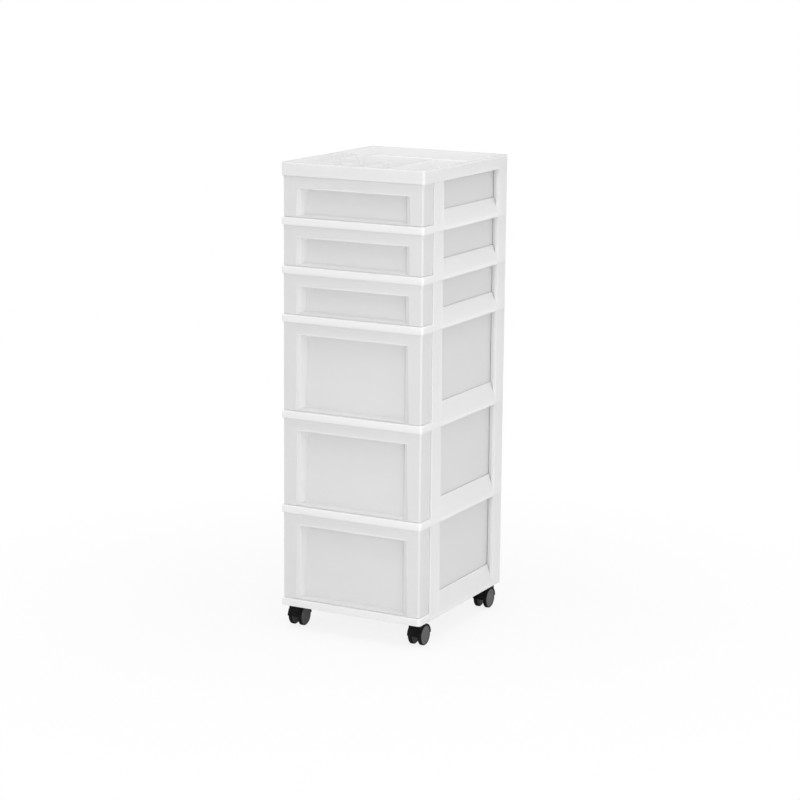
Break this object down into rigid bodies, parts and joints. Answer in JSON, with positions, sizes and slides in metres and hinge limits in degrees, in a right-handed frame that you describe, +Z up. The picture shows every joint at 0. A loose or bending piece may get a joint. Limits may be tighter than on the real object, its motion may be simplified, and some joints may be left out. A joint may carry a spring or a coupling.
{
  "type": "drawer tower on casters",
  "caption": "Tall narrow tower of stacked frames with shallow and deep sliding drawers, a compartment tray on top and twin-wheel casters below.",
  "frame": {"origin": "on the floor under the middle of the tower", "axes": "+Z up, +X to the right when facing the drawers, +Y to the back; the drawers open towards -Y"},
  "size_m": [0.306, 0.362, 0.9192],
  "materials": {
    "frame_plastic": "satin moulded polypropylene",
    "drawer_plastic": "satin moulded polypropylene, slightly milky",
    "caster_plastic": "satin moulded nylon",
    "wheel_plastic": "satin moulded nylon",
    "steel": "bright turned"
  },
  "bodies": {
    "tower": {"organizer_top": "frame_plastic", "shallow_frame_1": "frame_plastic", "shallow_frame_2": "frame_plastic", "shallow_frame_3": "frame_plastic", "deep_frame_1": "frame_plastic", "deep_frame_2": "frame_plastic", "base_frame": "frame_plastic"},
    "shallow_drawer_1": {"shallow_drawer_1": "drawer_plastic"},
    "shallow_drawer_2": {"shallow_drawer_2": "drawer_plastic"},
    "shallow_drawer_3": {"shallow_drawer_3": "drawer_plastic"},
    "deep_drawer_1": {"deep_drawer_1": "drawer_plastic"},
    "deep_drawer_2": {"deep_drawer_2": "drawer_plastic"},
    "deep_drawer_3": {"deep_drawer_3": "drawer_plastic"},
    "caster_front_left": {"caster_hood_front_left": "caster_plastic", "caster_stem_front_left": "steel", "grip_ring_front_left": "steel", "axle_front_left": "steel"},
    "outer_wheel_front_left": {"outer_wheel_front_left": "wheel_plastic"},
    "inner_wheel_front_left": {"inner_wheel_front_left": "wheel_plastic"},
    "caster_front_right": {"caster_hood_front_right": "caster_plastic", "caster_stem_front_right": "steel", "grip_ring_front_right": "steel", "axle_front_right": "steel"},
    "outer_wheel_front_right": {"outer_wheel_front_right": "wheel_plastic"},
    "inner_wheel_front_right": {"inner_wheel_front_right": "wheel_plastic"},
    "caster_back_left": {"caster_hood_back_left": "caster_plastic", "caster_stem_back_left": "steel", "grip_ring_back_left": "steel", "axle_back_left": "steel"},
    "outer_wheel_back_left": {"outer_wheel_back_left": "wheel_plastic"},
    "inner_wheel_back_left": {"inner_wheel_back_left": "wheel_plastic"},
    "caster_back_right": {"caster_hood_back_right": "caster_plastic", "caster_stem_back_right": "steel", "grip_ring_back_right": "steel", "axle_back_right": "steel"},
    "outer_wheel_back_right": {"outer_wheel_back_right": "wheel_plastic"},
    "inner_wheel_back_right": {"inner_wheel_back_right": "wheel_plastic"}
  },
  "joints": [
    {"name": "shallow_drawer_1_slide", "type": "slide", "parent": "tower", "child": "shallow_drawer_1", "axis": [0, -1, 0], "range_m": [0, 0.227]},
    {"name": "shallow_drawer_2_slide", "type": "slide", "parent": "tower", "child": "shallow_drawer_2", "axis": [0, -1, 0], "range_m": [0, 0.227]},
    {"name": "shallow_drawer_3_slide", "type": "slide", "parent": "tower", "child": "shallow_drawer_3", "axis": [0, -1, 0], "range_m": [0, 0.227]},
    {"name": "deep_drawer_1_slide", "type": "slide", "parent": "tower", "child": "deep_drawer_1", "axis": [0, -1, 0], "range_m": [0, 0.227]},
    {"name": "deep_drawer_2_slide", "type": "slide", "parent": "tower", "child": "deep_drawer_2", "axis": [0, -1, 0], "range_m": [0, 0.227]},
    {"name": "deep_drawer_3_slide", "type": "slide", "parent": "tower", "child": "deep_drawer_3", "axis": [0, -1, 0], "range_m": [0, 0.227]},
    {"name": "caster_front_left_swivel", "type": "hinge", "parent": "tower", "child": "caster_front_left", "pos_m": [-0.133, -0.154, 0.047], "axis": [0, 0, 1], "continuous": true},
    {"name": "outer_wheel_front_left_spin", "type": "hinge", "parent": "caster_front_left", "child": "outer_wheel_front_left", "pos_m": [-0.1447, -0.144, 0.02], "axis": [1, 0, 0], "continuous": true},
    {"name": "inner_wheel_front_left_spin", "type": "hinge", "parent": "caster_front_left", "child": "inner_wheel_front_left", "pos_m": [-0.1213, -0.144, 0.02], "axis": [1, 0, 0], "continuous": true},
    {"name": "caster_front_right_swivel", "type": "hinge", "parent": "tower", "child": "caster_front_right", "pos_m": [0.133, -0.154, 0.047], "axis": [0, 0, 1], "continuous": true},
    {"name": "outer_wheel_front_right_spin", "type": "hinge", "parent": "caster_front_right", "child": "outer_wheel_front_right", "pos_m": [0.1447, -0.144, 0.02], "axis": [1, 0, 0], "continuous": true},
    {"name": "inner_wheel_front_right_spin", "type": "hinge", "parent": "caster_front_right", "child": "inner_wheel_front_right", "pos_m": [0.1213, -0.144, 0.02], "axis": [1, 0, 0], "continuous": true},
    {"name": "caster_back_left_swivel", "type": "hinge", "parent": "tower", "child": "caster_back_left", "pos_m": [-0.133, 0.154, 0.047], "axis": [0, 0, 1], "continuous": true},
    {"name": "outer_wheel_back_left_spin", "type": "hinge", "parent": "caster_back_left", "child": "outer_wheel_back_left", "pos_m": [-0.1447, 0.144, 0.02], "axis": [1, 0, 0], "continuous": true},
    {"name": "inner_wheel_back_left_spin", "type": "hinge", "parent": "caster_back_left", "child": "inner_wheel_back_left", "pos_m": [-0.1213, 0.144, 0.02], "axis": [1, 0, 0], "continuous": true},
    {"name": "caster_back_right_swivel", "type": "hinge", "parent": "tower", "child": "caster_back_right", "pos_m": [0.133, 0.154, 0.047], "axis": [0, 0, 1], "continuous": true},
    {"name": "outer_wheel_back_right_spin", "type": "hinge", "parent": "caster_back_right", "child": "outer_wheel_back_right", "pos_m": [0.1447, 0.144, 0.02], "axis": [1, 0, 0], "continuous": true},
    {"name": "inner_wheel_back_right_spin", "type": "hinge", "parent": "caster_back_right", "child": "inner_wheel_back_right", "pos_m": [0.1213, 0.144, 0.02], "axis": [1, 0, 0], "continuous": true}
  ]
}
